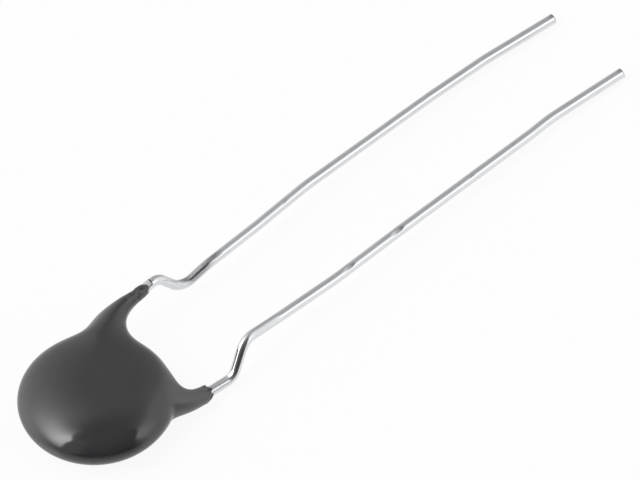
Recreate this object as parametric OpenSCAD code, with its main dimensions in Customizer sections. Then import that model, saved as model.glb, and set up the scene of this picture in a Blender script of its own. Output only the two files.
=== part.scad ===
// Disc varistor with two wire leads, lying flat on a table.
// The zinc oxide disc, its two silver electrodes, the soldered ends of the leads and the
// dip coat are separate solids that meet face to face. The disc axis is Z, the leads run along +X,
// and the middle of the coat's flat underside is at the origin. Sizes are in millimetres.

/* [Ceramic element] */
// diameter of the zinc oxide disc
ceramic_d = 10.0; // [9:0.1:11]
// thickness of the zinc oxide disc
ceramic_t = 1.6; // [1.2:0.1:2.4]
// diameter of the silver electrode printed on each face
electrode_d = 8.8; // [8.2:0.1:9]
// thickness of a silver electrode
electrode_t = 0.05; // [0.03:0.01:0.1]

/* [Leads] */
// diameter of the tinned copper wire
wire_d = 0.8; // [0.7:0.05:0.9]
// distance between the two leads
pitch = 7.5; // [7:0.1:8.5]
// length along X from the end of the kinks to the cut ends
lead_run = 38.5; // [25:0.5:45]
// height that each kink takes its lead across the disc's middle plane
kink_h = 2.1; // [1.8:0.1:2.3]
// radius of the first bend of a kink, on the wire's centre line
kink_in_r = 1.2; // [0.9:0.1:1.4]
// radius of the second bend of a kink
kink_out_r = 1.6; // [1.2:0.1:1.8]
// length along X over which a lead comes back to the middle plane after its kink
kink_rest = 2.6; // [2.4:0.1:3.4]
// radius of the bend under the coat, where a lead turns onto its electrode
inner_bend_r = 3.0; // [2:0.1:4]
// distance along X from the coat's upper tip to the first corner of that lead's kink
upper_kink_out = 1.71; // [1.6:0.01:2.2]
// distance along X from the coat's lower tip to the first corner of that lead's kink
lower_kink_out = 2.6; // [2.3:0.05:3.1]
// length along X between the corners of the upper lead's kink
upper_kink_l = 1.72; // [1.6:0.02:2.2]
// length along X between the corners of the lower lead's kink
lower_kink_l = 2.01; // [1.8:0.01:2.4]

/* [Solder] */
// film of solder between an electrode and the wire lying on it
solder_film = 0.03; // [0.02:0.01:0.06]
// length of the soldered joint along the wire
solder_l = 3.6; // [3:0.1:4]
// width of the soldered joint
solder_w = 2.0; // [1.7:0.1:2.4]
// height of the soldered joint over the electrode
solder_h = 0.7; // [0.6:0.05:0.8]

/* [Coat] */
// coat thickness beyond the rim of the zinc oxide disc
coat_rim = 1.0; // [0.8:0.05:1.4]
// coat thickness over the wires where they cross the disc
coat_over_wire = 0.32; // [0.25:0.01:0.5]
// diameter of the level middle of each face, before the coat starts to round off
flat_d = 4.6; // [4:0.1:5]
// how far the upper lead's coat runs out along the wire past the rim
upper_leg_reach = 2.8; // [2.5:0.05:3.3]
// how far the lower lead's coat runs out along the wire past the rim
lower_leg_reach = 0.77; // [0.6:0.01:1]
// coat thickness beside the wire at the tip of the upper leg
upper_tip_wall = 0.08; // [0.06:0.01:0.2]
// coat thickness beside the wire at the tip of the lower leg
lower_tip_wall = 0.21; // [0.16:0.01:0.3]

/* [Fineness] */
// sides of the bent part of a wire
wire_sides = 20; // [12:2:28]
// steps of the coat from a face's middle to the rim
rim_steps = 8; // [6:1:12]
// steps along each leg of the coat
leg_steps = 20; // [12:1:26]

/* [Hidden] */
$fn = 64;

wire_r = wire_d / 2;
coat_r = ceramic_d / 2 + coat_rim;
flat_r = flat_d / 2;
// height of an electrode's outer face over the disc's middle plane
face_h = ceramic_t / 2 + electrode_t;
// height of a soldered wire's centre line over the middle plane
wire_h = face_h + solder_film + wire_r;
// half the thickness of the coated body, which is also the height of its middle plane
half_t = wire_h + wire_r + coat_over_wire;
upper_z = half_t + wire_h;
lower_z = half_t - wire_h;

// how far outside half the pitch each leg of the coat ends
upper_leg_out = 0.69;
lower_leg_out = 1.12;
// how much nearer the middle plane the middle of each leg's end is than the wire in it
upper_leg_drop = 0.08;
lower_leg_rise = 0.1;
// coat thickness above and below the wire at the tips
upper_tip_cover = 0.17;
lower_tip_cover = 0.23;

// The shape of each leg of the coat, seen from above. Angles are against +X.
upper_leg = [
    [coat_r + upper_leg_reach, pitch / 2 + upper_leg_out], // end of the ridge
    5, // direction of the leg at its end
    wire_r + upper_tip_wall, // half the width at the end
    upper_z - upper_leg_drop, // height of the middle at the end
    wire_r + upper_tip_cover, // half the height at the end
    1, // side of the outer edge
    [62.8, 12.5], // angles where the outer and the inner edge leave the rim
    [28.4, 15], // flare of the outer and the inner edge away from the end
    [1.4, 3.24], // how far each edge holds the rim's direction
    [3.6, 0.38], // how far each edge holds its own direction at the end
    [45, 2.5, 3.2], // angle where the ridge leaves the flat, then how far it holds its direction at either end
    2.08, // distance past the rim where the leg has come to its own height
    0.54, // length of the rounded end
    -0.19 // how far the outer edge runs past the middle of the end, and the inner edge stays behind it
];
lower_leg = [
    [coat_r + lower_leg_reach, -pitch / 2 - lower_leg_out],
    1.4,
    wire_r + lower_tip_wall,
    lower_z + lower_leg_rise,
    wire_r + lower_tip_cover,
    -1,
    [-57, -13.8],
    [2.9, 11.1],
    [0.4, 2.9],
    [2.6, 1.63],
    [-50, 2.3, 1.8],
    2.4,
    0.26,
    0
];
function leg_end(g) = g[0];
function leg_heading(g) = g[1];
function leg_half_w(g) = g[2];
function leg_z(g) = g[3];
function leg_half_h(g) = g[4];
function leg_side(g) = g[5];
function leg_rim_angle(g, e) = g[6][e];
function leg_flare(g, e) = g[7][e];
function leg_rim_hold(g, e) = g[8][e];
function leg_end_hold(g, e) = g[9][e];
function leg_ridge(g) = g[10];
function leg_fall_end(g) = g[11];
function leg_nose(g) = g[12];
function leg_slant(g) = g[13];
OUTER = 0;
INNER = 1;

// distance inside the rim where a leg's height starts to part from the disc's
fall_start = 1.4;
// distance inside the rim of the point that a leg's own height spreads from, and how far it spreads sideways
fall_root = 1.2;
fall_spread = 1.7;
// rays round a leg's end, between the legs and round the back of the disc
tip_rays = 8;
crotch_rays = 12;
back_rays = 34;

function unit(v) = v / norm(v);
function polar(a, r = 1) = r * [cos(a), sin(a)];
function ease(t) = t * t * (3 - 2 * t);
function clamp01(t) = min(1, max(0, t));
function bezier(p, t) =
    pow(1 - t, 3) * p[0] + 3 * pow(1 - t, 2) * t * p[1] + 3 * (1 - t) * t * t * p[2] + pow(t, 3) * p[3];
function flat_list(v) = [for (a = v) for (b = a) b];
function left_of(v) = [-v[1], v[0]];

// Seen from above, the coat runs on rays from an inner line, which is the edge of the flat and the ridge
// of each leg, to the outline. Each ray is a quarter ellipse above the middle surface and one below it.
function ridge(g) =
    let (r = leg_ridge(g), root = polar(r[0], flat_r))
    [root, root + polar(r[0], r[1]), leg_end(g) - polar(leg_heading(g), r[2]), leg_end(g)];
function edge(g, e) =
    let (
        side = e == OUTER ? leg_side(g) : -leg_side(g),
        start = polar(leg_rim_angle(g, e), coat_r),
        head = polar(leg_heading(g)),
        slant = e == OUTER ? leg_slant(g) : -leg_slant(g),
        end = leg_end(g) + side * leg_half_w(g) * left_of(head) + slant * head
    )
    [
        start,
        start + polar(leg_rim_angle(g, e) - 90 * side, leg_rim_hold(g, e)),
        end - polar(leg_heading(g) - side * leg_flare(g, e), leg_end_hold(g, e)),
        end
    ];
function nose_point(g, a) =
    let (head = polar(leg_heading(g)))
    leg_end(g) + cos(a) * (leg_side(g) * leg_half_w(g) * left_of(head) + leg_slant(g) * head)
        + sin(a) * leg_nose(g) * head;

// how near a point is to a leg, from 0 to 1
function near(g, p) =
    let (
        from = polar(leg_ridge(g)[0], coat_r - fall_root),
        d = unit(leg_end(g) - from),
        v = p - from,
        away = v * d < 0 ? norm(v) : abs(v * left_of(d))
    )
    exp(-pow(away / fall_spread, 2));
// how far out along a leg a point is: 0 on the disc, 1 where the leg has come to its own height
fall_start_r = coat_r - fall_start;
function along(g, p) = ease(clamp01((norm(p) - fall_start_r) / (fall_start + leg_fall_end(g))));
function fall(g, p) = near(g, p) * along(g, p);
function blend(p, upper, lower) =
    half_t + fall(upper_leg, p) * (upper - half_t) + fall(lower_leg, p) * (lower - half_t);
function middle_z(p) = blend(p, leg_z(upper_leg), leg_z(lower_leg));
function half_h(p) = blend(p, leg_half_h(upper_leg), leg_half_h(lower_leg));
// The face that doesn't carry a leg's wire follows the disc's own rounding down to that leg.
function rounding(r) = sqrt(1 - pow(max(0, r - flat_r) / (coat_r - flat_r), 2));
function dip(g, p) = near(g, p) * (1 - along(g, p)) * (1 - rounding(min(norm(p), fall_start_r)));
function coat_point(p, side, height) =
    let (share = height * (1 - height * height * dip(side > 0 ? lower_leg : upper_leg, p)))
    [p[0], p[1], middle_z(p) + side * share * half_h(p)];

// A ray is [inner point, outer point, number of its inner point].
function leg_ray(g, e, i, first) = [bezier(ridge(g), i / leg_steps), bezier(edge(g, e), i / leg_steps), first + i];
function nose_ray(g, i, first) = [leg_end(g), nose_point(g, 180 * i / (tip_rays + 1)), first + leg_steps];
function disc_ray(inner_a, outer_a, number) = [polar(inner_a, flat_r), polar(outer_a, coat_r), number];
function between(a, b, i, n) = a + (b - a) * i / (n + 1);

crotch_first = leg_steps + 1;
upper_first = crotch_first + crotch_rays;
back_first = upper_first + leg_steps + 1;
inner_count = back_first + back_rays;
full_turn = 360;

// all rays, anticlockwise seen from above, starting on the outer side of the lower leg
rays = concat(
    [for (i = [0:leg_steps]) leg_ray(lower_leg, OUTER, i, 0)],
    [for (i = [1:tip_rays]) nose_ray(lower_leg, i, 0)],
    [for (i = [leg_steps:-1:0]) leg_ray(lower_leg, INNER, i, 0)],
    [for (i = [1:crotch_rays]) disc_ray(
        between(leg_ridge(lower_leg)[0], leg_ridge(upper_leg)[0], i, crotch_rays),
        between(leg_rim_angle(lower_leg, INNER), leg_rim_angle(upper_leg, INNER), i, crotch_rays),
        crotch_first + i - 1
    )],
    [for (i = [0:leg_steps]) leg_ray(upper_leg, INNER, i, upper_first)],
    [for (i = [tip_rays:-1:1]) nose_ray(upper_leg, i, upper_first)],
    [for (i = [leg_steps:-1:0]) leg_ray(upper_leg, OUTER, i, upper_first)],
    [for (i = [1:back_rays]) disc_ray(
        between(leg_ridge(upper_leg)[0], leg_ridge(lower_leg)[0] + full_turn, i, back_rays),
        between(leg_rim_angle(upper_leg, OUTER), leg_rim_angle(lower_leg, OUTER) + full_turn, i, back_rays),
        back_first + i - 1
    )]
);
ray_count = len(rays);
function inner_of(number) = [for (r = rays) if (r[2] == number) r[0]][0];
function ray_point(r, j, side) =
    let (a = 90 * j / rim_steps)
    coat_point(r[0] + (r[1] - r[0]) * sin(a), side, cos(a));

// points: the inner line above, the inner line below, then each ray from above, round the rim, to below
ray_points = 2 * rim_steps - 1;
coat_points = concat(
    [for (n = [0:inner_count - 1]) coat_point(inner_of(n), 1, 1)],
    [for (n = [0:inner_count - 1]) coat_point(inner_of(n), -1, 1)],
    [for (r = rays) each concat(
        [for (j = [1:rim_steps]) ray_point(r, j, 1)],
        [for (j = [rim_steps - 1:-1:1]) ray_point(r, j, -1)]
    )]
);
function above(i) = rays[i][2];
function below(i) = inner_count + rays[i][2];
function on_ray(i, j) = 2 * inner_count + i * ray_points + j;
// two triangles, split along the shorter diagonal
function quad(a, b, c, d) =
    norm(coat_points[a] - coat_points[c]) < norm(coat_points[b] - coat_points[d])
    ? [[a, b, c], [a, c, d]]
    : [[a, b, d], [b, c, d]];
function ray_faces(i) =
    let (k = (i + 1) % ray_count, last = ray_points - 1)
    concat(
        [[above(i), on_ray(k, 0), on_ray(i, 0)]],
        above(i) == above(k) ? [] : [[above(i), above(k), on_ray(k, 0)]],
        [for (j = [0:last - 1]) each quad(on_ray(i, j), on_ray(k, j), on_ray(k, j + 1), on_ray(i, j + 1))],
        [[below(i), on_ray(i, last), on_ray(k, last)]],
        above(i) == above(k) ? [] : [[below(i), on_ray(k, last), below(k)]]
    );
// numbers of the inner points round each level face
flat_numbers = concat(
    [0],
    [for (i = [0:crotch_rays - 1]) crotch_first + i],
    [upper_first],
    [for (i = [0:back_rays - 1]) back_first + i]
);
flat_last = len(flat_numbers) - 1;
coat_faces = concat(
    [for (i = [0:ray_count - 1]) each ray_faces(i)],
    [[for (i = [flat_last:-1:0]) flat_numbers[i]]],
    [[for (i = [0:flat_last]) inner_count + flat_numbers[i]]]
);

module coat_body() {
    polyhedron(points = coat_points, faces = coat_faces);
}

// Leads. Places on a lead are given outwards from half the pitch.
// inner end of a lead on its electrode: behind the disc's axis, and out from it
weld_back = 0.8;
weld_out = 1.9;
// corner under the coat where a lead turns towards its weld: past the rim, and outwards
upper_turn = [0.2, 0.63];
lower_turn = [-0.8, 0.85];
// both corners of each kink, outwards
upper_corners = [0.68, 0];
lower_corners = [1.3, 0.55];
// where each lead comes back to the middle plane, outwards, and the radius of its bend there
upper_rest_out = -0.17;
lower_rest_out = 0.24;
rest_r = 3;
// gentle bends of the runs: share of the run, outwards, bend radius
upper_bends = [[0.203, 0.01, 20], [0.348, 0.35, 15], [0.68, 0.25, 20], [0.826, 0.05, 15]];
lower_bends = [[0.223, 0.46, 20], [0.4, 0.36, 20], [0.761, 0.31, 12], [0.815, 0.22, 12]];
// where each cut end lies, outwards
upper_end_out = -0.56;
lower_end_out = 0.67;

upper_kink_x = leg_end(upper_leg)[0] + upper_kink_out;
lower_kink_x = leg_end(lower_leg)[0] + lower_kink_out;
run_x = max(upper_kink_x + upper_kink_l, lower_kink_x + lower_kink_l);
function out(side, d) = side * (pitch / 2 + d);
// The runs start at the height of the middle plane and come down to the table at their cut ends.
function run_point(b, side) = [run_x + b[0] * lead_run, out(side, b[1]), half_t + b[0] * (wire_r - half_t), b[2]];

// A path is a list of [x, y, z, bend radius]. A kink takes the upper lead down and the lower lead up.
function path(side, z, turn, kink_x, kink_l, corners, rest_out, bends, end_out) = concat(
    [
        [-weld_back, side * weld_out, z, 0],
        [coat_r + turn[0], out(side, turn[1]), z, inner_bend_r],
        [kink_x, out(side, corners[0]), z, kink_in_r],
        [kink_x + kink_l, out(side, corners[1]), z - side * kink_h, kink_out_r],
        run_point([kink_rest / lead_run, rest_out, rest_r], side)
    ],
    [for (b = bends) run_point(b, side)],
    [run_point([1, end_out, 0], side)]
);
upper_path = path(1, upper_z, upper_turn, upper_kink_x, upper_kink_l, upper_corners, upper_rest_out,
    upper_bends, upper_end_out);
lower_path = path(-1, lower_z, lower_turn, lower_kink_x, lower_kink_l, lower_corners, lower_rest_out,
    lower_bends, lower_end_out);

function xyz(p) = [p[0], p[1], p[2]];
function heading(path, i) = unit(xyz(path[i + 1]) - xyz(path[i]));
function turn_at(path, i) = acos(min(1, heading(path, i - 1) * heading(path, i)));
// degrees of a bend between two rings of the wire
bend_step = 9;
// centre line through a bend, as [point, direction]
function bend_line(path, i) =
    let (
        before = heading(path, i - 1),
        after = heading(path, i),
        r = path[i][3],
        a = turn_at(path, i),
        n = max(2, ceil(a / bend_step)),
        inward = unit(after - (after * before) * before),
        centre = xyz(path[i]) - r * tan(a / 2) * before + r * inward
    )
    [for (k = [0:n]) let (b = a * k / n)
        [centre - r * cos(b) * inward + r * sin(b) * before, cos(b) * before + sin(b) * inward]];
function bent_line(path) = concat(
    [[xyz(path[0]), heading(path, 0)]],
    [for (i = [1:len(path) - 2]) each bend_line(path, i)]
);
// sideways directions carried along the line without twist
function carried(line, i, u) =
    let (d = line[i][1], v = unit(u - (u * d) * d))
    i == len(line) - 1 ? [v] : concat([v], carried(line, i + 1, v));
function ring(centre, d, u, r) =
    let (w = cross(d, u))
    [for (k = [0:wire_sides - 1]) let (a = 360 * k / wire_sides) centre + r * (cos(a) * u + sin(a) * w)];

// how far the bent part reaches into the true cylinder at its end, and its slimmer end there
joint_l = 0.3;
joint_r = 0.9 * wire_r;
up = [0, 0, 1];

module bent_wire(path) {
    line = bent_line(path);
    last = line[len(line) - 1];
    sides = carried(line, 0, up);
    rings = concat(
        [for (i = [0:len(line) - 1]) ring(line[i][0], line[i][1], sides[i], wire_r)],
        [ring(last[0] + 2 * joint_l * last[1], last[1], sides[len(sides) - 1], joint_r)]
    );
    n = len(rings);
    faces = concat(
        [[for (k = [0:wire_sides - 1]) k]],
        [for (i = [0:n - 2]) for (k = [0:wire_sides - 1]) let (
            a = i * wire_sides + k,
            b = i * wire_sides + (k + 1) % wire_sides
        ) each [[a, b + wire_sides, b], [a, a + wire_sides, b + wire_sides]]],
        [[for (k = [wire_sides - 1:-1:0]) (n - 1) * wire_sides + k]]
    );
    polyhedron(points = flat_list(rings), faces = faces);
}

// The last straight stretch of a lead is a true cylinder, because it is what goes into a board.
module end_pin(path) {
    line = bent_line(path);
    last = line[len(line) - 1];
    d = last[1];
    start = last[0] + joint_l * d;
    translate(start)
        rotate([0, acos(d[2]), atan2(d[1], d[0])])
            cylinder(r = wire_r, h = norm(xyz(path[len(path) - 1]) - start));
}

module wire(path) {
    bent_wire(path);
    end_pin(path);
}

// Solder. A mound is half an ellipsoid standing on the electrode along the wire.
mound_rings = 5;
mound_sides = 24;
// share of the mound that lies behind the wire's inner end
mound_behind = 0.1;
function mound_point(i, k) =
    let (a = 90 * i / mound_rings, b = 360 * k / mound_sides)
    [solder_l / 2 * cos(a) * cos(b), solder_w / 2 * cos(a) * sin(b), solder_h * sin(a)];

module mound() {
    top = mound_rings * mound_sides;
    points = concat(
        [for (i = [0:mound_rings - 1]) for (k = [0:mound_sides - 1]) mound_point(i, k)],
        [[0, 0, solder_h]]
    );
    faces = concat(
        [[for (k = [0:mound_sides - 1]) k]],
        [for (i = [0:mound_rings - 2]) for (k = [0:mound_sides - 1]) let (
            a = i * mound_sides + k,
            b = i * mound_sides + (k + 1) % mound_sides
        ) each [[a, b + mound_sides, b], [a, a + mound_sides, b + mound_sides]]],
        [for (k = [0:mound_sides - 1]) let (
            a = top - mound_sides + k,
            b = top - mound_sides + (k + 1) % mound_sides
        ) [a, top, b]]
    );
    polyhedron(points = points, faces = faces);
}

module solder_mound(path, side) {
    d = heading(path, 0);
    middle = xyz(path[0]) + (0.5 - mound_behind) * solder_l * d;
    translate([middle[0], middle[1], half_t + side * face_h])
        rotate([side > 0 ? 0 : 180, 0, 0])
            rotate([0, 0, side * atan2(d[1], d[0])])
                mound();
}

module solder(path, side) {
    difference() {
        solder_mound(path, side);
        bent_wire(path);
    }
}

module ceramic_disc() {
    color("dimgray")
        translate([0, 0, half_t - ceramic_t / 2])
            cylinder(d = ceramic_d, h = ceramic_t);
}

module electrode_upper() {
    color("silver")
        translate([0, 0, half_t + ceramic_t / 2])
            cylinder(d = electrode_d, h = electrode_t);
}

module electrode_lower() {
    color("silver")
        translate([0, 0, half_t - face_h])
            cylinder(d = electrode_d, h = electrode_t);
}

module solder_upper() {
    color("gainsboro") solder(upper_path, 1);
}

module solder_lower() {
    color("gainsboro") solder(lower_path, -1);
}

module lead_upper() {
    color("lightgray") wire(upper_path);
}

module lead_lower() {
    color("lightgray") wire(lower_path);
}

// The coat fills all the space round what it was dipped over.
module coating() {
    color("darkslategray")
        difference() {
            coat_body();
            ceramic_disc();
            electrode_upper();
            electrode_lower();
            solder_mound(upper_path, 1);
            solder_mound(lower_path, -1);
            bent_wire(upper_path);
            bent_wire(lower_path);
        }
}

coating();
ceramic_disc();
electrode_upper();
electrode_lower();
solder_upper();
solder_lower();
lead_upper();
lead_lower();
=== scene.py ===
"""The looks of a disc varistor that lies flat on a pale table.

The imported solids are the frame. The dip coat and the two wire leads are modelled here on finer meshes,
with the coat's torn ends and the wires' tool marks; the pieces sealed inside keep their solids.
Sizes are in millimetres and angles in degrees until a mesh is made.
"""
import math
import bpy
import numpy as np
from mathutils import Matrix, Vector, noise


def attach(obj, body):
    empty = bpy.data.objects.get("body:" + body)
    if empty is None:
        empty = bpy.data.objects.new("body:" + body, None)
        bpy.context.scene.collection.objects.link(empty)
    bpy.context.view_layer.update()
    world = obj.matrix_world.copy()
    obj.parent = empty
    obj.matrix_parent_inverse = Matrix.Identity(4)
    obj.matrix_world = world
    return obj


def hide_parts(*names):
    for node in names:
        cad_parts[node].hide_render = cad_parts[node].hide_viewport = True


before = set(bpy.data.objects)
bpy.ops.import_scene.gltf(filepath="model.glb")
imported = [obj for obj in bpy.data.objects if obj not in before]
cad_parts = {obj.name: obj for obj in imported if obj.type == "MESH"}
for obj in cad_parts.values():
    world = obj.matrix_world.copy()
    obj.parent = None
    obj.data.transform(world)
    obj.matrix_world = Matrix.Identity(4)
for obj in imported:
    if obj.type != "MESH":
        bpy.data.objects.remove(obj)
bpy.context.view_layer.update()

MM = 0.001
ROOT = "root"

# sizes of the solids, in millimetres
WIRE_R = 0.4
COAT_R = 6.0
FLAT_R = 2.3
HALF_T = 2.0
PITCH = 7.5

# The camera looks down on the varistor from the side of its lower lead, with a very long lens.
IMAGE_W = 640
SENSOR_W = 36.0
FOCAL_PX = 16000.0
CAMERA_AT = (-461.994, -578.137, 958.679)
CAMERA_TURN = -40.0
CAMERA_DOWN = 51.772
CAMERA_ROLL = 4.038
CLIP_NEAR = 0.05
CLIP_FAR = 20


# General help

def polar(angle, r=1.0):
    """Points at an angle from +X in the plan; takes one angle or many."""
    angle = np.radians(angle)
    return np.stack([r * np.cos(angle), r * np.sin(angle)], -1)


def left_of(v):
    """A direction in the plan, turned a quarter turn anticlockwise."""
    return np.array([-v[1], v[0]])


def unit(v):
    """A vector scaled to a length of 1."""
    return v / np.linalg.norm(v)


def ease(t):
    """A smooth step from 0 to 1."""
    return t * t * (3 - 2 * t)


def fade(x, start, end):
    """0 before start, 1 after end, and smooth between them; end may lie before start."""
    return ease(np.clip((x - start) / (end - start), 0, 1))


def bezier(points, t):
    """Points at shares t of a cubic curve."""
    t = np.asarray(t, float)[..., None]
    a, b, c, d = points
    return (1 - t) ** 3 * a + 3 * (1 - t) ** 2 * t * b + 3 * (1 - t) * t * t * c + t ** 3 * d


def noise_at(points, size, seed=0.0):
    """Smooth noise from -1 to 1 at points in millimetres, with lumps about one size across."""
    shift = Vector((seed, 2 * seed, 3 * seed))
    return np.array([noise.noise(Vector(p) / size + shift) for p in points])


def mesh_piece(name, points, faces, material, nodes):
    """A smooth-shaded piece from points in millimetres, which stands for the named CAD nodes."""
    mesh = bpy.data.meshes.new(name)
    mesh.from_pydata((np.asarray(points) * MM).tolist(), [], faces)
    mesh.validate()
    mesh.shade_smooth()
    piece = bpy.data.objects.new(name, mesh)
    bpy.context.scene.collection.objects.link(piece)
    mesh.materials.append(material)
    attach(piece, ROOT)
    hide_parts(*nodes)
    return piece


# Materials

def srgb(text):
    """Linear colour of an sRGB hex value."""
    parts = [int(text[i:i + 2], 16) / 255 for i in (1, 3, 5)]
    return [p / 12.92 if p <= 0.04045 else ((p + 0.055) / 1.055) ** 2.4 for p in parts] + [1.0]


def add(tree, kind, inputs=(), output=None, **settings):
    """Adds a node with its settings, links or fills its inputs by order or name, and gives one output."""
    node = tree.nodes.new(kind)
    for key, value in settings.items():
        setattr(node, key, value)
    sockets = [s for s in node.inputs if s.enabled]
    if isinstance(inputs, dict):
        filled = [(s, inputs[s.name]) for s in sockets if s.name in inputs]
    else:
        filled = zip(sockets, inputs)
    for socket, value in filled:
        if isinstance(value, bpy.types.NodeSocket):
            tree.links.new(value, socket)
        else:
            socket.default_value = value
    outputs = [s for s in node.outputs if s.enabled and output in (None, s.name)]
    return outputs[0] if outputs else None


MATH = "ShaderNodeMath"
VECTOR = "ShaderNodeVectorMath"
NOISE = "ShaderNodeTexNoise"
RANGE = "ShaderNodeMapRange"
MIX = "ShaderNodeMix"
BUMP = "ShaderNodeBump"
SURFACE = "ShaderNodeBsdfPrincipled"
COORDS = "ShaderNodeTexCoord"
SMOOTH = {"interpolation_type": "SMOOTHSTEP"}
COLOURS = {"data_type": "RGBA"}


def new_material(name):
    """An empty material, its node tree and the place on the object in millimetres."""
    material = bpy.data.materials.new(name)
    material.use_nodes = True
    tree = material.node_tree
    tree.nodes.clear()
    here = add(tree, VECTOR, (add(tree, COORDS, output="Object"), 1 / MM), operation="SCALE")
    return material, tree, here


# sizes of the patterns in the coat's skin, in millimetres
CLOUD_SIZE = 3.0
DIP_WAVE_SIZE = 1.6
TEAR_SIZE = 0.5
BLOTCH_SIZE = 0.35
FLECK_SIZE = 0.14


def dipped_epoxy():
    """Black-grey epoxy, dip coated and cured glossy. The eye sees mirrored soft lights over a nearly black
    body with slow waves from the dip, a satin lower leg whose lighter grey is painted sheen, and a dull,
    mottled crust at both torn ends."""
    material, tree, here = new_material("dipped_epoxy")
    # worn is the torn, crusted end of a leg, with a ragged edge, and satin_and_sheen the satin stretch
    # before it, which is less glossy and is also painted a lighter grey as sheen
    worn = 0.0
    satin_and_sheen = 0.0
    for leg in (UPPER_LEG, LOWER_LEG):
        end = (*leg["end"], leg["z"])
        away = add(tree, VECTOR, (here, end), operation="DISTANCE")
        tear = add(tree, NOISE, (here, 1 / TEAR_SIZE, 3.0))
        ragged = add(tree, MATH, (tear, leg["worn_l"], away), operation="MULTIPLY_ADD")
        close = add(tree, RANGE, (ragged, leg["worn_l"] * 1.5, leg["worn_l"] * 1.1), **SMOOTH)
        worn = add(tree, MATH, (worn, close), operation="MAXIMUM")
        satin_sheen_share = add(tree, RANGE, (away, leg["satin_sheen_l"] + 0.4, leg["satin_sheen_l"] - 1.2), **SMOOTH)
        satin_and_sheen = add(tree, MATH, (satin_and_sheen, satin_sheen_share), operation="MAXIMUM")
    cloud = add(tree, NOISE, (here, 1 / CLOUD_SIZE, 2.0))
    blotch = add(tree, NOISE, (here, 1 / BLOTCH_SIZE, 3.0, 0.6))
    fleck = add(tree, NOISE, (here, 1 / FLECK_SIZE, 2.0, 0.5))

    skin = add(tree, MIX, (cloud, srgb("#2a2a2c"), srgb("#2e2e30")), **COLOURS)
    # painted sheen: the satin stretch of the lower leg is painted a lighter grey, which evens out its
    # reflections
    skin = add(tree, MIX, (satin_and_sheen, skin, srgb("#4b4b4d")), **COLOURS)
    blotched = add(tree, RANGE, (blotch, 0.4, 0.6), **SMOOTH)
    flecked = add(tree, RANGE, (fleck, 0.62, 0.7), **SMOOTH)
    crust = add(tree, MIX, (blotched, srgb("#29292b"), srgb("#444446")), **COLOURS)
    crust = add(tree, MIX, (flecked, crust, srgb("#7c7c7e")), **COLOURS)
    colour = add(tree, MIX, (worn, skin, crust), **COLOURS)

    gloss = add(tree, RANGE, (cloud, 0.3, 0.7, 0.07, 0.1))
    gloss = add(tree, MATH, (satin_and_sheen, 0.3, gloss), operation="MULTIPLY_ADD")
    uneven = add(tree, RANGE, (blotch, 0.3, 0.7, 0.1, 0.35))
    roughness = add(tree, MATH, (worn, uneven, gloss), operation="MULTIPLY_ADD")

    waves = add(tree, NOISE, (here, 1 / DIP_WAVE_SIZE, 1.0))
    waved = add(tree, BUMP, {"Height": waves, "Strength": 0.25, "Distance": 0.02 * MM})
    rise = add(tree, MATH, (blotch, fleck), operation="ADD")
    rise = add(tree, MATH, (worn, rise), operation="MULTIPLY")
    normal = add(tree, BUMP, {"Height": rise, "Strength": 0.5, "Distance": 0.04 * MM, "Normal": waved})
    look = {"Base Color": colour, "Roughness": roughness, "IOR": 1.65, "Normal": normal}
    shader = add(tree, SURFACE, look)
    add(tree, "ShaderNodeOutputMaterial", (shader,))
    return material


# Sizes of the patterns on the wires, in millimetres. The draw lines run along a wire, a few of them to a
# turn: their scale is by the millimetre along it and by the turn round it.
PATCH_SIZE = 0.9
FILM_EDGE_SIZE = 0.4
GRAIN_SIZE = 0.12
DRAW_LINES = (0.35, 7.0, 1.0)

# Where round a wire its marks lie, in shares of a turn from the top: where a mark ends and where it is
# whole. A groove has an edge on either side and lies on the side towards -Y.
TOP_MARK = (0.1, 0.04)
FILM_MARK = (0.17, 0.11)
GROOVE_UPPER_EDGE = (0.045, 0.075)
GROOVE_LOWER_EDGE = (0.125, 0.1)


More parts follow.
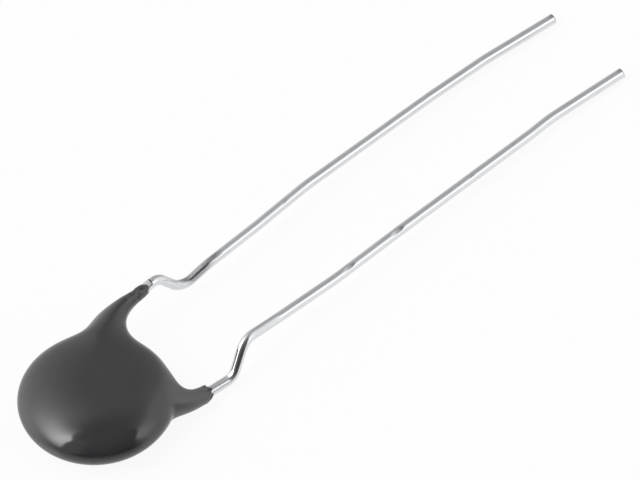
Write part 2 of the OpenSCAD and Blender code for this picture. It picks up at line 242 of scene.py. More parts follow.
def tinned_copper():
    """Copper wire, drawn and hot tinned. The eye sees a bright grey metal whose mirror is stretched into
    lines along the wire, with faint dull patches, scuffs and grooves where tools bent and cut it, and a
    pale grey film of resin just past the coat, with a painted shadow line along its edge."""
    material, tree, here = new_material("tinned_copper")
    along = add(tree, "ShaderNodeUVMap", uv_map="along_and_round")
    drawn = add(tree, "ShaderNodeMapping", {"Vector": along, "Scale": DRAW_LINES}, vector_type="POINT")
    lines = add(tree, NOISE, (drawn, 1.0, 3.0, 0.6))
    patches = add(tree, NOISE, (here, 1 / PATCH_SIZE, 3.0, 0.6))
    grains = add(tree, NOISE, (here, 1 / GRAIN_SIZE, 2.0))

    # round_share is the share of a turn from the wire's top towards -Y, and from_top the share either way
    round_share = add(tree, "ShaderNodeSeparateXYZ", (along,), output="Y")
    from_top = add(tree, MATH, (round_share, 0.5), operation="PINGPONG")
    on_top = add(tree, RANGE, (from_top, *TOP_MARK), **SMOOTH)

    # resin crept along the upper half of the wire
    film_edge = add(tree, NOISE, (here, 1 / FILM_EDGE_SIZE))
    away = add(tree, VECTOR, (here, FILM_AT), operation="DISTANCE")
    ragged = add(tree, MATH, (film_edge, 0.2, away), operation="MULTIPLY_ADD")
    crept = add(tree, RANGE, (ragged, FILM_R + 0.25, FILM_R + 0.05), **SMOOTH)
    upper_half = add(tree, RANGE, (from_top, *FILM_MARK), **SMOOTH)
    film = add(tree, MATH, (crept, upper_half), operation="MULTIPLY")
    # the painted shadow line along the film's edge lies where the film is half there, and its share is a
    # quarter at most before it is scaled up
    outside = add(tree, MATH, (1.0, film), operation="SUBTRACT")
    painted_edge_shadow = add(tree, MATH, (film, outside), operation="MULTIPLY")
    painted_edge_shadow = add(tree, MATH, (painted_edge_shadow, 4.0), operation="MULTIPLY")

    # tools scuffed the top of one bend and both cut ends, and drew a groove along the side of both kinks
    away = add(tree, VECTOR, (here, SCUFF_AT), operation="DISTANCE")
    by_bend = add(tree, RANGE, (away, SCUFF_R, SCUFF_WHOLE_R), **SMOOTH)
    away = add(tree, VECTOR, (here, GROOVE_AT), operation="DISTANCE")
    by_riser = add(tree, RANGE, (away, GROOVE_R, GROOVE_WHOLE_R), **SMOOTH)
    groove_start = add(tree, RANGE, (round_share, *GROOVE_UPPER_EDGE), **SMOOTH)
    groove_end = add(tree, RANGE, (round_share, *GROOVE_LOWER_EDGE), **SMOOTH)
    groove = add(tree, MATH, (groove_start, groove_end), operation="MULTIPLY")
    by_kink = add(tree, MATH, (by_bend, by_riser), operation="MAXIMUM")
    groove = add(tree, MATH, (by_kink, groove), operation="MULTIPLY")
    scuffed = add(tree, MATH, (by_bend, on_top), operation="MULTIPLY")
    how_far = add(tree, "ShaderNodeSeparateXYZ", (here,), output="X")
    cut = add(tree, RANGE, (how_far, *CUT_MARK, 0, 0.8), **SMOOTH)
    cut = add(tree, MATH, (cut, on_top), operation="MULTIPLY")
    scuffed = add(tree, MATH, (scuffed, cut), operation="MAXIMUM")

    grainy = add(tree, RANGE, (grains, 0.35, 0.7))
    clean = add(tree, MIX, (patches, srgb("#d0d1d3"), srgb("#dfe0e2")), **COLOURS)
    resin = add(tree, MIX, (grainy, srgb("#b4b4b4"), srgb("#dadada")), **COLOURS)
    scraped = add(tree, MIX, (grainy, srgb("#8a8a8c"), srgb("#aaaaac")), **COLOURS)
    colour = add(tree, MIX, (scuffed, clean, scraped), **COLOURS)
    colour = add(tree, MIX, (groove, colour, srgb("#909092")), **COLOURS)
    colour = add(tree, MIX, (film, colour, resin), **COLOURS)
    # painted shadow: a dark line along the film's edge stands for the shade that edge casts
    colour = add(tree, MIX, (painted_edge_shadow, colour, srgb("#3c3c3c")), **COLOURS)

    metal = add(tree, MATH, (film, -0.6, 1.0), operation="MULTIPLY_ADD")
    uneven = add(tree, MATH, (patches, 0.6, lines), operation="MULTIPLY_ADD")
    bare = add(tree, RANGE, (uneven, 0.5, 1.1, 0.08, 0.22), **SMOOTH)
    coarse = add(tree, MATH, (film, scuffed), operation="MAXIMUM")
    roughness = add(tree, MATH, (coarse, 0.3, bare), operation="MULTIPLY_ADD")
    scratched = add(tree, BUMP, {"Height": lines, "Strength": 0.35, "Distance": 0.01 * MM})
    specks = add(tree, MATH, (grains, coarse), operation="MULTIPLY")
    bumps = {"Height": specks, "Strength": 0.4, "Distance": 0.02 * MM, "Normal": scratched}
    normal = add(tree, BUMP, bumps)
    look = {"Base Color": colour, "Metallic": metal, "Roughness": roughness, "Normal": normal}
    shader = add(tree, SURFACE, look)
    add(tree, "ShaderNodeOutputMaterial", (shader,))
    return material


# sizes of the patterns on the sealed inner pieces, in millimetres
SINTER_GRAIN = 0.08
SCREEN_MESH = 0.25
SILVER_CLOUD = 1.2
FROST_SIZE = 0.2


def sintered_zinc_oxide():
    """Zinc oxide, pressed and sintered. The eye sees a matt dark grey-green ceramic with a fine grain."""
    material, tree, here = new_material("sintered_zinc_oxide")
    grain = add(tree, NOISE, (here, 1 / SINTER_GRAIN, 3.0))
    colour = add(tree, MIX, (grain, srgb("#4d4f4a"), srgb("#5d5f59")), **COLOURS)
    normal = add(tree, BUMP, {"Height": grain, "Strength": 0.5, "Distance": 0.01 * MM})
    shader = add(tree, SURFACE, {"Base Color": colour, "Roughness": 0.75, "Normal": normal})
    add(tree, "ShaderNodeOutputMaterial", (shader,))
    return material


def fired_silver():
    """Silver paste, screen printed and fired. The eye sees a matt warm white metal with the faint weave of
    the screen's mesh."""
    material, tree, here = new_material("fired_silver")
    mesh = {"Vector": here, "Scale": 1 / SCREEN_MESH, "Distortion": 1.0}
    weave = add(tree, "ShaderNodeTexWave", mesh, output="Fac")
    cloud = add(tree, NOISE, (here, 1 / SILVER_CLOUD))
    colour = add(tree, MIX, (cloud, srgb("#d2cfc6"), srgb("#e2dfd8")), **COLOURS)
    normal = add(tree, BUMP, {"Height": weave, "Strength": 0.3, "Distance": 0.004 * MM})
    shader = add(tree, SURFACE, {"Base Color": colour, "Metallic": 1.0, "Roughness": 0.5, "Normal": normal})
    add(tree, "ShaderNodeOutputMaterial", (shader,))
    return material


def tin_solder():
    """Tin solder, wetted and frozen. The eye sees a bright, slightly frosted metal."""
    material, tree, here = new_material("tin_solder")
    frost = add(tree, NOISE, (here, 1 / FROST_SIZE, 3.0))
    colour = add(tree, MIX, (frost, srgb("#bfc0c2"), srgb("#d4d5d6")), **COLOURS)
    normal = add(tree, BUMP, {"Height": frost, "Strength": 0.4, "Distance": 0.01 * MM})
    shader = add(tree, SURFACE, {"Base Color": colour, "Metallic": 1.0, "Roughness": 0.3, "Normal": normal})
    add(tree, "ShaderNodeOutputMaterial", (shader,))
    return material


# The dip coat. Its outline seen from above is drawn. A soap film over that outline gives how the wet coat
# rounded off towards every edge, and the film is scaled to the coat's thickness on the disc and the legs.

# The legs, in millimetres and degrees. A pair of values is for a leg's outer edge and its inner edge, which
# faces the other leg. The ridge has an angle at the disc and the holds of its curve, and the wire in the
# leg has a point, a heading and a height.
UPPER_LEG = {
    "end": np.array([8.54, 4.44]), "heading": 5.0, "half_w": 0.48, "z": 3.2, "half_h": 0.57, "side": 1,
    "rim_angle": (62.8, 12.5), "flare": (28.4, 15.0), "rim_hold": (1.4, 3.24), "end_hold": (3.6, 0.38),
    "ridge": (45.0, 2.5, 3.2), "fall_end": 2.08, "nose": 0.58, "slant": -0.45, "tooth": 0.05,
    "wire": ((8.8, 4.41), 0.7, 3.28), "worn_l": 1.5, "satin_sheen_l": 0.0,
}
LOWER_LEG = {
    "end": np.array([6.77, -4.87]), "heading": 1.4, "half_w": 0.61, "z": 0.82, "half_h": 0.63, "side": -1,
    "rim_angle": (-57.0, -13.8), "flare": (2.9, 11.1), "rim_hold": (0.4, 2.9), "end_hold": (2.6, 1.63),
    "ridge": (-50.0, 2.3, 1.8), "fall_end": 2.4, "nose": 0.36, "slant": -0.16, "tooth": 0.34,
    "wire": ((6.77, -4.77), -6.2, 0.72), "worn_l": 0.7, "satin_sheen_l": 4.2,
}
OUTER = 0
INNER = 1
# how far inside the rim a leg leaves the disc's height and its line begins, and how wide its pull is
FALL_START = 1.4
FALL_ROOT = 1.2
FALL_SPREAD = 1.7
# how the top and a leg's end round off
DOME_POWER = 2.9
NOSE_POWER = 0.6
# the skin's radius over a wire at a leg's end, and how far in from there it shrinks and ends
CLING_R = 0.46
CLING_SHRINK = 0.2
CLING_L = 0.8
CLING_FADE = (-0.5 * CLING_L, -1.5 * CLING_L)
CLING_END = -2 * CLING_L
# how long the soap film is solved
FILM_ROUNDS = 1500
FILM_DONE = 1e-14
LEAST_AREA = 1e-9

# the torn ends: how far from a leg's end they reach, where along the leg they start and are whole, and the
# sizes of the teeth and lumps
TEAR_R = 1.5
TOOTH_START, TOOTH_WHOLE = -0.35, 0.1
TOOTH_SIZE = 0.18
LUMP_START, LUMP_WHOLE = -1.2, -0.2
LUMP_SIZE = 0.3
LUMP_HEIGHT = 0.035

# steps of the mesh
RIM_STEPS = 30
LEG_STEPS = 44
TIP_RAYS = 26
CROTCH_RAYS = 36
BACK_RAYS = 110
MIDDLE_RINGS = 10


def ridge(leg):
    """The line under which a leg's wire runs, from the middle of the disc to the leg's end."""
    angle, rim_hold, end_hold = leg["ridge"]
    root = polar(angle, FLAT_R)
    return root, root + polar(angle, rim_hold), leg["end"] - polar(leg["heading"], end_hold), leg["end"]


def edge(leg, which):
    """The outer or inner edge of a leg, from the disc's rim to the leg's end."""
    side = leg["side"] if which == OUTER else -leg["side"]
    start = polar(leg["rim_angle"][which], COAT_R)
    head = polar(leg["heading"])
    slant = leg["slant"] if which == OUTER else -leg["slant"]
    end = leg["end"] + side * leg["half_w"] * left_of(head) + slant * head
    return (
        start,
        start + polar(leg["rim_angle"][which] - 90 * side, leg["rim_hold"][which]),
        end - polar(leg["heading"] - side * leg["flare"][which], leg["end_hold"][which]),
        end,
    )


def nose_point(leg, angle):
    """Outline of a leg's rounded end, from its outer edge at 0 degrees to its inner edge at 180."""
    head = polar(leg["heading"])
    across = math.cos(math.radians(angle))
    out = math.sin(math.radians(angle)) ** NOSE_POWER
    side = leg["side"] * leg["half_w"] * left_of(head) + leg["slant"] * head
    return leg["end"] + across * side + out * leg["nose"] * head


def near(leg, p):
    """How near points are to a leg, from 0 to 1."""
    root = polar(leg["ridge"][0], COAT_R - FALL_ROOT)
    d = unit(leg["end"] - root)
    v = p - root
    forward = v @ d
    sideways = np.abs(v @ left_of(d))
    away = np.where(forward < 0, np.hypot(forward, sideways), sideways)
    return np.exp(-(away / FALL_SPREAD) ** 2)


def along(leg, p):
    """How far out along a leg points are: 0 on the disc, 1 where the leg has come to its own height."""
    r = np.hypot(p[..., 0], p[..., 1])
    return ease(np.clip((r - (COAT_R - FALL_START)) / (FALL_START + leg["fall_end"]), 0, 1))


def coat_rays():
    """Rays as inner point, outer point and number of the inner point, anticlockwise seen from above."""
    inner, outer, number = [], [], []

    def ray(start, end, n):
        inner.append(start)
        outer.append(end)
        number.append(n)

    def leg_rays(leg, which, first, steps):
        for i in steps:
            t = i / LEG_STEPS
            ray(bezier(ridge(leg), t), bezier(edge(leg, which), t), first + i)

    def tip_rays(leg, first, steps):
        for i in steps:
            ray(leg["end"], nose_point(leg, 180 * i / (TIP_RAYS + 1)), first + LEG_STEPS)

    def disc_rays(inner_angles, outer_angles, first, count):
        for i in range(1, count + 1):
            share = i / (count + 1)
            a = inner_angles[0] + share * (inner_angles[1] - inner_angles[0])
            b = outer_angles[0] + share * (outer_angles[1] - outer_angles[0])
            ray(polar(a, FLAT_R), polar(b, COAT_R), first + i - 1)

    outwards = range(LEG_STEPS + 1)
    inwards = range(LEG_STEPS, -1, -1)
    crotch = LEG_STEPS + 1
    upper = crotch + CROTCH_RAYS
    back = upper + LEG_STEPS + 1
    turn = 360
    leg_rays(LOWER_LEG, OUTER, 0, outwards)
    tip_rays(LOWER_LEG, 0, range(1, TIP_RAYS + 1))
    leg_rays(LOWER_LEG, INNER, 0, inwards)
    disc_rays((LOWER_LEG["ridge"][0], UPPER_LEG["ridge"][0]),
              (LOWER_LEG["rim_angle"][INNER], UPPER_LEG["rim_angle"][INNER]), crotch, CROTCH_RAYS)
    leg_rays(UPPER_LEG, INNER, upper, outwards)
    tip_rays(UPPER_LEG, upper, range(TIP_RAYS, 0, -1))
    leg_rays(UPPER_LEG, OUTER, upper, inwards)
    disc_rays((UPPER_LEG["ridge"][0], LOWER_LEG["ridge"][0] + turn),
              (UPPER_LEG["rim_angle"][OUTER], LOWER_LEG["rim_angle"][OUTER] + turn), back, BACK_RAYS)
    middle = [0] + list(range(crotch, upper + 1)) + list(range(back, back + BACK_RAYS))
    ridges = {"lower": range(0, crotch), "upper": range(upper, back)}
    return np.array(inner), np.array(outer), number, middle, ridges, back + BACK_RAYS


def plan_mesh():
    """The coat seen from above: points, faces, how many points come before the outline, and both ridges."""
    inner, outer, number, middle, ridges, count = coat_rays()
    rays = len(number)
    share = np.sin(np.radians(90 * np.arange(1, RIM_STEPS + 1) / RIM_STEPS))
    grid = inner[:, None] + (outer - inner)[:, None] * share[None, :, None]
    first_line = np.zeros((count, 2))
    first_line[number] = inner
    rings = [first_line[middle] * k / MIDDLE_RINGS for k in range(MIDDLE_RINGS - 1, 0, -1)]
    first_ring = count + rays * (RIM_STEPS - 1)
    centre = first_ring + len(middle) * len(rings)
    outline = centre + 1
    points = np.concatenate([first_line, grid[:, :-1].reshape(-1, 2), *rings, [[0, 0]], grid[:, -1]])

    def at(i, j):
        """Number of the point on ray i at step j: 0 is the inner line and RIM_STEPS the outline."""
        i = i % rays
        if j == RIM_STEPS:
            return outline + i
        return number[i] if j == 0 else count + i * (RIM_STEPS - 1) + j - 1

    faces = []

    def quad(a, b, c, d):
        """Two triangles along the shorter diagonal, or one where two corners are the same."""
        corners = [n for n, m in zip((a, b, c, d), (d, a, b, c)) if n != m]
        if len(corners) == 3:
            faces.append(corners)
        elif np.linalg.norm(points[a] - points[c]) <= np.linalg.norm(points[b] - points[d]):
            faces.extend(([a, b, c], [a, c, d]))
        else:
            faces.extend(([b, c, d], [b, d, a]))

    for i in range(rays):
        for j in range(RIM_STEPS):
            quad(at(i, j), at(i, j + 1), at(i + 1, j + 1), at(i + 1, j))
    starts = range(first_ring, centre, len(middle))
    lines = [middle] + [list(range(start, start + len(middle))) for start in starts]
    for outside, inside in zip(lines, lines[1:]):
        for i in range(len(middle)):
            n = (i + 1) % len(middle)
            quad(inside[i], outside[i], outside[n], inside[n])
    for i in range(len(middle)):
        faces.append([centre, lines[-1][i], lines[-1][(i + 1) % len(middle)]])
    return points, np.array(faces), outline, ridges


def soap_film(points, faces, outline):
    """Height of a film blown up over the outline, by the finite element method and conjugate gradients."""
    corners = points[faces]
    area = np.zeros(len(points))
    starts, ends, weights = [], [], []
    for k in range(3):
        a, b, c = (corners[:, (k + n) % 3] for n in range(3))
        u, v = a - c, b - c
        cross = np.abs(u[:, 0] * v[:, 1] - u[:, 1] * v[:, 0])
        starts.append(faces[:, k])
        ends.append(faces[:, (k + 1) % 3])
        weights.append(0.5 * (u * v).sum(1) / np.maximum(cross, LEAST_AREA))
        area += np.bincount(faces[:, k], cross / 6, len(points))
    start, end, weight = (np.concatenate(v) for v in (starts, ends, weights))
    own = np.bincount(start, weight, len(points)) + np.bincount(end, weight, len(points))
    free = np.arange(len(points)) < outline

    def stiffness(z):
        pull = np.bincount(start, weight * z[end], len(z)) + np.bincount(end, weight * z[start], len(z))
        return np.where(free, own * z - pull, 0)

    film = np.zeros(len(points))
    rest = np.where(free, area, 0)
    scale = np.where(free, 1 / np.where(own > 0, own, 1), 0)
    step = scale * rest
    energy = rest @ step
    for _ in range(FILM_ROUNDS):
        moved = stiffness(step)
        size = energy / (step @ moved)
        film += size * step
        rest = rest - size * moved
        turned = scale * rest
        new_energy = rest @ turned
        step = turned + new_energy / energy * step
        energy = new_energy
        if energy < FILM_DONE:
            break
    return np.maximum(film, 0)


def cling(leg, points, face, side):
    """Keeps a face of the coat outside the wire up to the leg's torn end."""
    at, heading, z = leg["wire"]
    head = polar(heading)
    forward = (points - at) @ head
    across = (points - at) @ left_of(head)
    radius = CLING_R - CLING_SHRINK * fade(forward, *CLING_FADE)
    skin = z + side * np.sqrt(np.maximum(radius ** 2 - across ** 2, 0))
    held = (np.abs(across) < radius) & (forward > CLING_END)
    return np.where(held, side * np.maximum(side * face, side * skin), face)


def coat_heights(points, film, ridges):
    """Heights of the coat's upper and lower face over the points."""
    r = np.hypot(points[:, 0], points[:, 1])
    # over a round disc the film is (R^2 - r^2) / 4, so each point gets the radius it would have on a disc
    r_like = np.sqrt(np.maximum(COAT_R ** 2 - 4 * film, 0))
    dome = np.sqrt(1 - (r_like / COAT_R) ** DOME_POWER)
    table = np.sqrt(1 - (np.maximum(0, r_like - FLAT_R) / (COAT_R - FLAT_R)) ** 2)
    middle = np.full(len(points), HALF_T)
    for leg in (UPPER_LEG, LOWER_LEG):
        middle += near(leg, points) * along(leg, points) * (leg["z"] - HALF_T)
    faces = []
    for side, shape in ((1, dome), (-1, table)):
        swell = np.full(len(points), HALF_T)
        for name, leg in (("upper", UPPER_LEG), ("lower", LOWER_LEG)):
            line = np.array(ridges[name])
            out = along(leg, points[line])
            leg_swell = leg["half_h"] / shape[line[-1]]
            if side == leg["side"]:
                top = HALF_T * 2 if side > 0 else 0
                target = top + out * (leg["z"] + side * leg["half_h"] - top)
                on_ridge = side * (target - middle[line]) / shape[line]
            else:
                on_ridge = HALF_T + out ** 2 * (leg_swell - HALF_T)
            swell += near(leg, points) * (np.interp(r, r[line], on_ridge) - HALF_T)
        face = middle + side * swell * shape
        for leg in (UPPER_LEG, LOWER_LEG):
            face = cling(leg, points, face, side)
        faces.append(face)
    return faces


def coat_mesh():
    """Points in millimetres and faces of the whole coat."""
    plan, faces, outline, ridges = plan_mesh()
    top, bottom = coat_heights(plan, soap_film(plan, faces, outline), ridges)
    points = np.concatenate([np.column_stack([plan, top]), np.column_stack([plan, bottom])[:outline]])
    under = np.where(faces < outline, faces + len(plan), faces)[:, ::-1]
    return points, np.concatenate([faces, under]).tolist()


def tear_ends(points):
    """Makes the last stretch of each leg ragged, as a coat that broke where it ran out."""
    for leg, seed in ((UPPER_LEG, 3.1), (LOWER_LEG, 8.7)):
        head = polar(leg["heading"])
        forward = (points[:, :2] - leg["end"]) @ head
        close = np.linalg.norm(points[:, :2] - leg["end"], axis=1) < TEAR_R
        share = np.where(close, fade(forward, TOOTH_START, TOOTH_WHOLE), 0)
        moved = np.nonzero(share > 0)[0]
        amount = leg["tooth"] * share[moved] * noise_at(points[moved], TOOTH_SIZE, seed)
        points[moved, :2] += amount[:, None] * head
        rough = np.nonzero(close & (forward > LUMP_START))[0]
        share = fade(forward[rough], LUMP_START, LUMP_WHOLE)
        points[rough, 2] += LUMP_HEIGHT * share * noise_at(points[rough], LUMP_SIZE, seed + 5)
    return points


def make_coat(material):
    """The coat with both torn ends."""
    points, faces = coat_mesh()
    points = tear_ends(points)
    return mesh_piece("dip_coat", points, faces, material, ["coating"])


# The leads. A path is a list of x, y, z and bend radius, the same as the solids have.

# X and Z of the ends of a long run, its length along X, and where along it the kink's last bend is
RUN_START = (12.23, 2.0)
RUN_END = (50.73, 0.4)
RUN_L = 38.5
KINK_REST = 2.6 / RUN_L


def run(side, bends):
    """A long run from the middle height down to the table. Each bend has its share of the length, how far
    it lies outside the pitch, and its radius."""
    points = []
    for share, out, radius in bends:
        x, z = (a + share * (b - a) for a, b in zip(RUN_START, RUN_END))
        points.append((x, side * (PITCH / 2 + out), z, radius))
    return points


UPPER_PATH = [
    (-0.8, 1.9, 3.28, 0), (6.2, 4.38, 3.28, 3), (10.51, 4.43, 3.28, 1.2), (12.23, 3.75, 1.18, 1.6),
    *run(1, [
        (KINK_REST, -0.17, 3), (0.203, 0.01, 20), (0.348, 0.35, 15), (0.68, 0.25, 20), (0.826, 0.05, 15),
        (1, -0.56, 0),
    ]),
]
LOWER_PATH = [
    (-0.8, -1.9, 0.72, 0), (5.2, -4.6, 0.72, 3), (9.37, -5.05, 0.72, 1.2), (11.38, -4.3, 2.82, 1.6),
    *run(-1, [
        (KINK_REST, 0.24, 3), (0.223, 0.46, 20), (0.4, 0.36, 20), (0.761, 0.31, 12), (0.815, 0.22, 12),
        (1, 0.67, 0),
    ]),
]

# Marks on the leads, where they are and how far they reach: the resin that has crept onto the upper lead,
# the scuffs and the groove at that lead's bend, the groove on the lower lead's riser, and both cut ends,
# which have X only.
FILM_AT = (8.76, 4.42, 3.6)
FILM_R = 0.95
SCUFF_AT = (14.2, 3.62, 1.85)
SCUFF_R = 2.4
SCUFF_WHOLE_R = SCUFF_R - 1.0
GROOVE_AT = (10.45, -4.65, 1.85)
GROOVE_R = 1.7
GROOVE_WHOLE_R = GROOVE_R - 0.5
CUT_MARK = (RUN_END[0] - 0.6, RUN_END[0] - 0.1)

WIRE_SIDES = 40
RING_STEP = 0.14
BEND_STEP = 5.0
WOBBLE = 0.004
WOBBLE_SIZE = 0.8
# cosine of the widest angle that a flat takes in
FLAT_FACING = 0.5


def centre_line(path):
    """Points and directions along a path, with true arcs at its bends."""
    corners = np.array([p[:3] for p in path], float)
    heads = [unit(b - a) for a, b in zip(corners, corners[1:])]
    points, directions = [], []

    def straight(start, end, head):
        count = max(1, int(np.linalg.norm(end - start) / RING_STEP))
        for k in range(count):
            points.append(start + (end - start) * k / count)
            directions.append(head)

    at = corners[0]
    for i in range(1, len(corners) - 1):
        before, after, radius = heads[i - 1], heads[i], path[i][3]
        turn = math.acos(min(1, float(before @ after)))
        start = corners[i] - radius * math.tan(turn / 2) * before
        straight(at, start, before)
        inward = unit(after - (after @ before) * before)
        count = max(2, math.ceil(math.degrees(turn) / BEND_STEP))
        for k in range(count):
            b = turn * k / count
            points.append(start + radius * (math.sin(b) * before + (1 - math.cos(b)) * inward))
            directions.append(math.cos(b) * before + math.sin(b) * inward)
        at = start + radius * (math.sin(turn) * before + (1 - math.cos(turn)) * inward)
    straight(at, corners[-1], heads[-1])
    points.append(corners[-1])
    directions.append(heads[-1])
    return np.array(points), np.array(directions)


# Flats and nicks that tools left on a lead: how far along X, angle round the wire from its top towards -Y,
# length and depth.
UPPER_FLATS = [(13.8, 66, 2.6, 0.045), (23.0, 14, 0.5, 0.02)]
LOWER_FLATS = [(8.4, -4, 2.2, 0.035), (10.3, -34, 1.2, 0.03), (10.6, 24, 1.9, 0.035), (22.2, 16, 0.9, 0.05),
               (27.3, 17, 1.0, 0.065), (35.0, 10, 0.5, 0.02)]


def wire_mesh(path, flats, seed):
    """Points and faces of a wire with its flats, closed at both ends, and how far along each ring is."""
    line, heads = centre_line(path)
    lengths = np.concatenate([[0], np.cumsum(np.linalg.norm(np.diff(line, axis=0), axis=1))])
    up = np.array([0.0, 0.0, 1.0])
    turns = np.arange(WIRE_SIDES) * 360 / WIRE_SIDES
    over = np.cos(np.radians(turns))[:, None]
    beside = np.sin(np.radians(turns))[:, None]
    points = []
    for at, head in zip(line, heads):
        top = unit(up - (up @ head) * head)
        side = np.cross(top, head) * -1
        radius = np.full(WIRE_SIDES, WIRE_R)
        for x, angle, length, depth in flats:
            gap = (turns - angle + 180) % 360 - 180
            level = WIRE_R - depth * math.exp(-((at[0] - x) / (length / 2)) ** 4)
            facing = np.cos(np.radians(gap))
            flat = np.minimum(radius, level / np.maximum(facing, FLAT_FACING))
            radius = np.where(facing > FLAT_FACING, flat, radius)
        points.append(at + radius[:, None] * (over * top + beside * side))
    points = np.array(points)
    wobble = noise_at(points.reshape(-1, 3), WOBBLE_SIZE, seed).reshape(points.shape[:2])
    outward = points - line[:, None]
    points += WOBBLE * wobble[..., None] * outward / WIRE_R
    last = (len(line) - 1) * WIRE_SIDES
    faces = []
    for a in range(0, last, WIRE_SIDES):
        b = a + WIRE_SIDES
        for k in range(WIRE_SIDES):
            n = (k + 1) % WIRE_SIDES
            faces.append([a + k, a + n, b + n, b + k])
    faces.append(list(range(WIRE_SIDES - 1, -1, -1)))
    faces.append(list(range(last, last + WIRE_SIDES)))
    return points.reshape(-1, 3), faces, lengths


def make_lead(name, path, flats, seed, material, node):
    """A lead with a map of how far along the wire and how far round it a place is."""
    points, faces, lengths = wire_mesh(path, flats, seed)
    piece = mesh_piece(name, points, faces, material, [node])
    mesh = piece.data
    uv = mesh.uv_layers.new(name="along_and_round")
    for polygon in mesh.polygons:
        ks = [mesh.loops[i].vertex_index % WIRE_SIDES for i in polygon.loop_indices]
        wraps = 0 in ks and WIRE_SIDES - 1 in ks
        for i, k in zip(polygon.loop_indices, ks):
            ring = mesh.loops[i].vertex_index // WIRE_SIDES
            round_share = (k + WIRE_SIDES if wraps and k == 0 else k) / WIRE_SIDES
            uv.data[i].uv = (lengths[ring], round_share)
    return piece


# The studio

# The floor's half width is in metres. It lies a hair under the varistor, in millimetres.
FLOOR_HALF = 3.0
FLOOR_DROP = 0.01
FLOOR_CLOUD = 60.0
FLOOR_GLOW = 0.92

# how bright the parts of the room are; WINDOW_MOST is the largest share of its light that the window gives
ROOM_LIGHT = 0.48
FRONT_LIGHT = 0.05
TOP_LIGHT = 0.27
LEFT_WALL = 1.25
WINDOW_LIGHT = 6.0
WINDOW_MOST = 0.84
RIGHT_WALL = 0.62
CARD_LIGHT = 0.65

# Edges in the room, in degrees: where a light ends and where it is whole. Azimuth is 0 away from the camera
# and grows to the picture's right. The window fades by a factor e over each FADE_SPAN.
LEFT_WALL_RISE = (-2, -72)
LEFT_WALL_END = (-134, -85)
LEFT_WALL_TOP = (85, 60)
FADE_FROM = -118
FADE_SPAN = 31
WINDOW_END = (-129.5, -124)
WINDOW_SILL = (46, 84)
SILL_SLOPE = -0.3
WINDOW_TOP = (84, 58)
RIGHT_WALL_START = (12, 78)
RIGHT_WALL_TOP = (66, 48)
CARD_START = (80, 115)
CARD_FOOT = (10, 38)
CARD_TOP = (64, 46)
CARD_END = 127
FRONT_CORNER = (-145, -165)
DUSK_TOP = 70
CEILING = (62, 78)

# How edges lean or blur with the height: two heights, and the degrees that go with each.
FRAME_FOOT_LEAN = (46, 28, 0, -2)
FRAME_HEAD_LEAN = (58, 84, 0, 45)
CARD_LEAN = (36, 66, 0, 26)
CARD_BLUR = (38, 14, 4, 13)
CORNER_LEAN = (24, 6, 0, 8)


def camera_axes():
    """The camera's right, up and back, and the level directions to its right and away from it."""
    turn, down, roll = (math.radians(a) for a in (CAMERA_TURN, CAMERA_DOWN, CAMERA_ROLL))
    right = Vector((math.cos(turn), math.sin(turn), 0))
    level = Vector((-math.sin(turn), math.cos(turn), 0))
    forward = math.cos(down) * level - math.sin(down) * Vector((0, 0, 1))
    up = math.sin(down) * level + math.cos(down) * Vector((0, 0, 1))
    x = math.cos(roll) * right - math.sin(roll) * up
    y = math.sin(roll) * right + math.cos(roll) * up
    return x, y, -forward, right, level


def make_camera():
    """The camera, with the photograph's view of the varistor."""
    x, y, back, _, _ = camera_axes()
    data = bpy.data.cameras.new("camera")
    data.sensor_width = SENSOR_W
    data.sensor_fit = "HORIZONTAL"
    data.lens = FOCAL_PX * SENSOR_W / IMAGE_W
    data.clip_start = CLIP_NEAR
    data.clip_end = CLIP_FAR
    camera = bpy.data.objects.new("camera", data)
    turned = Matrix((x, y, back)).transposed().to_4x4()
    camera.matrix_world = Matrix.Translation(Vector(CAMERA_AT) * MM) @ turned
    bpy.context.scene.collection.objects.link(camera)
    bpy.context.scene.camera = camera


def make_floor():
    """White card. The camera and mirrors see it lit up to white, with the object's soft shadow on it."""
    material, tree, here = new_material("white_card")
    cloud = add(tree, NOISE, (here, 1 / FLOOR_CLOUD))
    colour = add(tree, MIX, (cloud, srgb("#e6e6e6"), srgb("#ebebeb")), **COLOURS)
    card = add(tree, "ShaderNodeBsdfDiffuse", {"Color": colour})
    glow = add(tree, "ShaderNodeEmission", {"Color": srgb("#ffffff"), "Strength": 1.0})
    # at a slant the card's gloss mirrors the room
    slant = add(tree, "ShaderNodeLayerWeight", (0.5,), output="Facing")
    slant = add(tree, MATH, (slant, 2.0), operation="POWER")
    mirror = add(tree, "ShaderNodeBsdfGlossy", {"Color": srgb("#ffffff"), "Roughness": 0.2})
    glossy = add(tree, "ShaderNodeMixShader", (slant, glow, mirror))
    from_camera, from_gloss, from_glass = (
        add(tree, "ShaderNodeLightPath", output=ray)
        for ray in ("Is Camera Ray", "Is Glossy Ray", "Is Transmission Ray")
    )
    glow = add(tree, "ShaderNodeMixShader", (from_gloss, glow, glossy))
    seen = add(tree, MATH, (from_camera, from_gloss), operation="MAXIMUM")
    seen = add(tree, MATH, (seen, from_glass), operation="MAXIMUM")
    share = add(tree, MATH, (seen, FLOOR_GLOW), operation="MULTIPLY")
    shader = add(tree, "ShaderNodeMixShader", (share, card, glow))
    add(tree, "ShaderNodeOutputMaterial", (shader,))
    mesh = bpy.data.meshes.new("floor")
    h = FLOOR_HALF
    z = -FLOOR_DROP * MM
    mesh.from_pydata([(-h, -h, z), (h, -h, z), (h, h, z), (-h, h, z)], [], [(0, 1, 2, 3)])
    mesh.materials.append(material)
    floor = bpy.data.objects.new("floor", mesh)
    bpy.context.scene.collection.objects.link(floor)


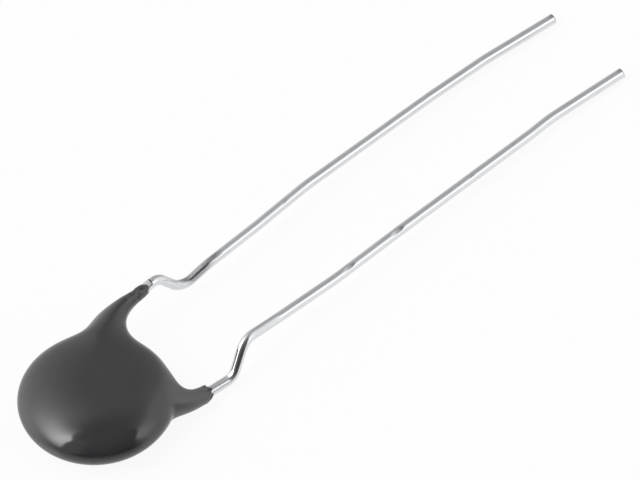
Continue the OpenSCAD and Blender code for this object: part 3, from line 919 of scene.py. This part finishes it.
def make_studio():
    """A room with a fading window and a pale wall on the left, a pale wall and a card on the right, and a
    dark side at the front."""
    _, _, _, right, level = camera_axes()
    world = bpy.data.worlds.new("studio")
    bpy.context.scene.world = world
    world.use_nodes = True
    tree = world.node_tree
    tree.nodes.clear()
    ray = add(tree, COORDS, output="Generated")
    x = add(tree, VECTOR, (ray, right), operation="DOT_PRODUCT")
    y = add(tree, VECTOR, (ray, level), operation="DOT_PRODUCT")
    z = add(tree, "ShaderNodeSeparateXYZ", (ray,), output="Z")
    degrees = 180 / math.pi
    azimuth = add(tree, MATH, (add(tree, MATH, (x, y), operation="ARCTAN2"), degrees), operation="MULTIPLY")
    height = add(tree, MATH, (add(tree, MATH, (z,), operation="ARCSINE"), degrees), operation="MULTIPLY")

    def patch(light, *edges):
        """Light with soft edges. An edge is a value, where the light ends and where it is whole."""
        for value, none, whole in edges:
            share = add(tree, RANGE, (value, none, whole), **SMOOTH)
            light = add(tree, MATH, (light, share), operation="MULTIPLY")
        return light

    side_wall = add(tree, RANGE, (azimuth, *LEFT_WALL_RISE, 0, LEFT_WALL))
    side_wall = patch(side_wall, (azimuth, *LEFT_WALL_END), (height, *LEFT_WALL_TOP))

    faded = add(tree, MATH, (azimuth, -1 / FADE_SPAN, FADE_FROM / FADE_SPAN), operation="MULTIPLY_ADD")
    faded = add(tree, MATH, (faded,), operation="EXPONENT")
    faded = add(tree, MATH, (faded, WINDOW_MOST), operation="MINIMUM")
    window = add(tree, MATH, (WINDOW_LIGHT, faded), operation="MULTIPLY")
    over_sill = add(tree, MATH, (azimuth, SILL_SLOPE, height), operation="MULTIPLY_ADD")
    foot_lean = add(tree, RANGE, (height, *FRAME_FOOT_LEAN), **SMOOTH)
    head_lean = add(tree, RANGE, (height, *FRAME_HEAD_LEAN), **SMOOTH)
    frame_lean = add(tree, MATH, (foot_lean, head_lean), operation="ADD")
    past_frame = add(tree, MATH, (azimuth, frame_lean), operation="SUBTRACT")
    window = patch(window, (past_frame, *WINDOW_END), (over_sill, *WINDOW_SILL), (height, *WINDOW_TOP))

    # card_end runs from -1 where the card is whole to 1 where it has ended
    card_lean = add(tree, RANGE, (height, *CARD_LEAN), **SMOOTH)
    card_end = add(tree, MATH, (azimuth, card_lean), operation="ADD")
    card_end = add(tree, MATH, (card_end, CARD_END), operation="SUBTRACT")
    blur = add(tree, RANGE, (height, *CARD_BLUR), **SMOOTH)
    card_end = add(tree, MATH, (card_end, blur), operation="DIVIDE")
    before_end = (card_end, 1, -1)
    right_wall = patch(RIGHT_WALL, (azimuth, *RIGHT_WALL_START), (height, *RIGHT_WALL_TOP), before_end)
    card_foot = (height, *CARD_FOOT)
    card = patch(CARD_LIGHT, (azimuth, *CARD_START), card_foot, (height, *CARD_TOP), before_end)

    corner_lean = add(tree, RANGE, (height, *CORNER_LEAN), **SMOOTH)
    corner = add(tree, MATH, (azimuth, corner_lean), operation="SUBTRACT")
    past_card = add(tree, RANGE, (card_end, -1, 1), **SMOOTH)
    past_corner = add(tree, RANGE, (corner, *FRONT_CORNER), **SMOOTH)
    front = add(tree, MATH, (past_card, past_corner), operation="MAXIMUM")
    dusk = add(tree, RANGE, (height, 0, DUSK_TOP, FRONT_LIGHT, TOP_LIGHT))
    room = add(tree, MIX, (front, ROOM_LIGHT, dusk), data_type="FLOAT")
    top = add(tree, RANGE, (height, *CEILING), **SMOOTH)
    light = add(tree, MIX, (top, room, TOP_LIGHT), data_type="FLOAT")
    for part in (side_wall, window, right_wall, card):
        light = add(tree, MATH, (light, part), operation="ADD")

    seen = add(tree, "ShaderNodeBackground", (srgb("#ffffff"), 1.0))
    lit = add(tree, "ShaderNodeBackground", (srgb("#ffffff"), light))
    camera_ray = add(tree, "ShaderNodeLightPath", output="Is Camera Ray")
    mixed = add(tree, "ShaderNodeMixShader", (camera_ray, lit, seen))
    add(tree, "ShaderNodeOutputWorld", (mixed,))
    bpy.context.scene.view_settings.view_transform = "Standard"


def dress_nodes(materials):
    """Gives the sealed inner solids their own finish."""
    for node, material in materials.items():
        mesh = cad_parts[node].data
        mesh.materials.clear()
        mesh.materials.append(material)


make_camera()
make_floor()
make_studio()
make_coat(dipped_epoxy())
tin = tinned_copper()
make_lead("lead_wire_upper", UPPER_PATH, UPPER_FLATS, 1.7, tin, "lead_upper")
make_lead("lead_wire_lower", LOWER_PATH, LOWER_FLATS, 4.3, tin, "lead_lower")
silver = fired_silver()
solder = tin_solder()
dress_nodes({
    "ceramic_disc": sintered_zinc_oxide(), "electrode_upper": silver, "electrode_lower": silver,
    "solder_upper": solder, "solder_lower": solder,
})
